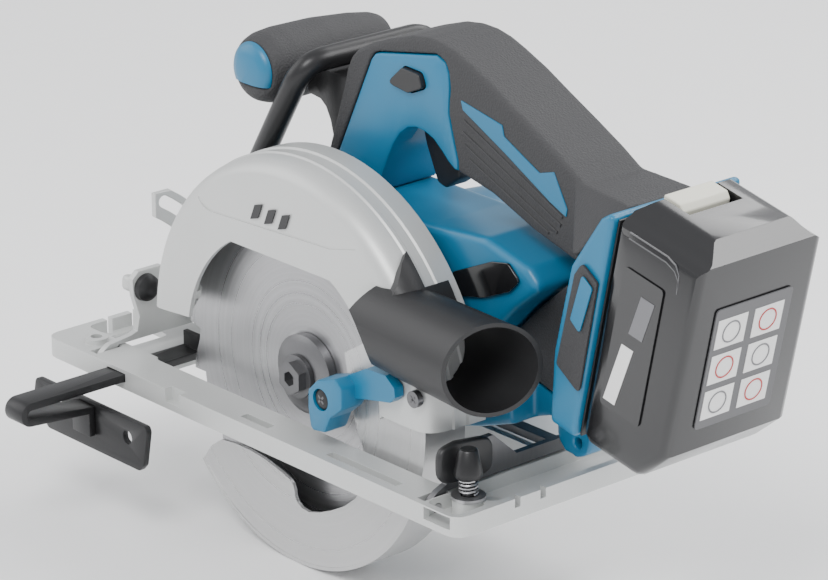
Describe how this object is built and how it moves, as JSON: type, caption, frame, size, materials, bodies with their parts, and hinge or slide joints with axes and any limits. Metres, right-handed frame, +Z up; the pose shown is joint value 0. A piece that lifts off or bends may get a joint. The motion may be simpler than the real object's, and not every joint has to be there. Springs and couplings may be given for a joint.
{
  "type": "cordless circular saw",
  "caption": "Battery circular saw with a cast blade case, swinging lower guard, rimmed base, side fence, looped rear handle and slide-on pack.",
  "frame": {"origin": "on the sole (z = 0), under the arbor (x = 0), in the centre plane of the handle (y = 0)", "axes": "+X to the rear of the saw, +Y to its right (the motor side), +Z up; the blade's plane is y = -0.048"},
  "size_m": [0.3637, 0.1984, 0.2336],
  "materials": {
    "cast_silver": "satin silver paint on a casting",
    "steel": "brushed",
    "black_metal": "satin black paint",
    "blue_plastic": "fine texture",
    "black_plastic": "fine texture",
    "gloss_black": "polished",
    "rubber": "stippled soft grip",
    "cream_plastic": "smooth",
    "label": "printed film"
  },
  "bodies": {
    "base": {"base_plate": "cast_silver", "bevel_quadrant": "cast_silver", "hinge_pin_front": "steel", "hinge_pin_rear": "steel", "screw_washer": "steel", "screw_spring": "steel"},
    "fence_screw": {"thumb_screw": "black_metal"},
    "fence": {"fence_bar": "black_metal", "fence_plate": "black_metal"},
    "bevel_frame": {"bevel_bracket_front": "cast_silver", "bevel_bracket_rear": "steel", "bevel_rail": "steel", "depth_lug": "cast_silver", "depth_guide": "steel", "depth_pin": "steel", "bevel_clamp_bolt": "steel", "bevel_stop_bolt": "black_metal"},
    "bevel_lever": {"bevel_clamp_lever": "black_metal"},
    "bevel_stop_tab": {"bevel_stop": "cast_silver"},
    "rear_clamp": {"rear_clamp_knob": "black_plastic"},
    "head": {"upper_guard": "cast_silver", "gear_housing": "cast_silver", "pivot_arm": "cast_silver", "main_housing": "blue_plastic", "indicator_panel": "gloss_black", "handle_grip": "rubber", "handle_panel": "blue_plastic", "motor_housing": "blue_plastic", "motor_cap": "black_plastic", "battery_holder": "blue_plastic", "holder_face": "black_plastic", "holder_pad_left": "rubber", "holder_pad_right": "rubber", "holder_inlay_left": "blue_plastic", "holder_inlay_right": "blue_plastic", "lower_housing": "rubber", "dust_nozzle": "black_plastic", "nozzle_screw": "steel", "guard_bar": "black_metal", "front_grip": "rubber", "front_grip_cap": "blue_plastic", "grip_neck": "black_metal", "depth_clamp_bolt": "steel"},
    "depth_lever": {"depth_clamp_lever": "black_metal"},
    "blade": {"saw_blade": "steel", "outer_flange": "black_metal", "inner_flange": "steel", "spindle": "steel", "blade_bolt": "black_metal"},
    "guard": {"lower_guard": "steel", "guard_lever": "blue_plastic", "lever_screw": "steel"},
    "trigger": {"trigger": "black_plastic"},
    "lock_off": {"lock_off_button": "black_plastic"},
    "shaft_lock": {"shaft_lock": "black_plastic"},
    "battery": {"battery_case": "gloss_black", "battery_label": "label", "battery_rear_label": "label"},
    "release": {"release_button": "cream_plastic"}
  },
  "joints": [
    {"name": "fence_screw_turn", "type": "hinge", "parent": "base", "child": "fence_screw", "pos_m": [0.1155, -0.0635, 0.02], "axis": [0, 0, 1], "range_deg": [-360, 360]},
    {"name": "fence_slide", "type": "slide", "parent": "base", "child": "fence", "axis": [0, -1, 0], "range_m": [-0.024, 0.0205]},
    {"name": "bevel_hinge", "type": "hinge", "parent": "base", "child": "bevel_frame", "pos_m": [0, -0.072, 0.0045], "axis": [1, 0, 0], "range_deg": [0, 50]},
    {"name": "bevel_lever_turn", "type": "hinge", "parent": "bevel_frame", "child": "bevel_lever", "pos_m": [-0.126, 0.00109, 0.01608], "axis": [-1, 0, 0], "range_deg": [0, 60]},
    {"name": "bevel_stop_turn", "type": "hinge", "parent": "bevel_frame", "child": "bevel_stop_tab", "pos_m": [-0.12, -0.0495, 0.033], "axis": [1, 0, 0], "range_deg": [-45, 45]},
    {"name": "rear_clamp_turn", "type": "hinge", "parent": "bevel_frame", "child": "rear_clamp", "pos_m": [0.1065, -0.0578, 0.0218], "axis": [1, 0, 0], "range_deg": [0, 30]},
    {"name": "depth_hinge", "type": "hinge", "parent": "bevel_frame", "child": "head", "pos_m": [-0.099, 0, 0.024], "axis": [0, -1, 0], "range_deg": [0, 35]},
    {"name": "depth_lever_turn", "type": "hinge", "parent": "head", "child": "depth_lever", "pos_m": [-0.04907, -0.004, 0.02662], "axis": [0, -1, 0], "range_deg": [0, 60]},
    {"name": "arbor_spin", "type": "hinge", "parent": "head", "child": "blade", "pos_m": [0, -0.048, 0.026], "axis": [0, 1, 0], "continuous": true},
    {"name": "guard_swing", "type": "hinge", "parent": "head", "child": "guard", "pos_m": [0, -0.048, 0.026], "axis": [0, -1, 0], "range_deg": [0, 115], "stiffness_Nm_per_rad": 0.1, "springref_deg": -68.75},
    {"name": "trigger_pull", "type": "hinge", "parent": "head", "child": "trigger", "pos_m": [0.024, 0, 0.139], "axis": [0, -1, 0], "range_deg": [0, 10], "stiffness_Nm_per_rad": 0.6, "springref_deg": -17.19},
    {"name": "lock_off_slide", "type": "slide", "parent": "head", "child": "lock_off", "axis": [0, 1, 0], "range_m": [-0.002, 0.002], "stiffness_N_per_m": 600},
    {"name": "shaft_lock_slide", "type": "slide", "parent": "head", "child": "shaft_lock", "axis": [1, 0, 0], "range_m": [0, 0.003], "stiffness_N_per_m": 800, "springref_m": -0.002},
    {"name": "battery_slide", "type": "slide", "parent": "head", "child": "battery", "axis": [0.2079, 0, 0.9781], "range_m": [0, 0.08]},
    {"name": "release_slide", "type": "slide", "parent": "battery", "child": "release", "axis": [0.9781, 0, -0.2079], "range_m": [0, 0.0035], "stiffness_N_per_m": 800, "springref_m": -0.002}
  ]
}
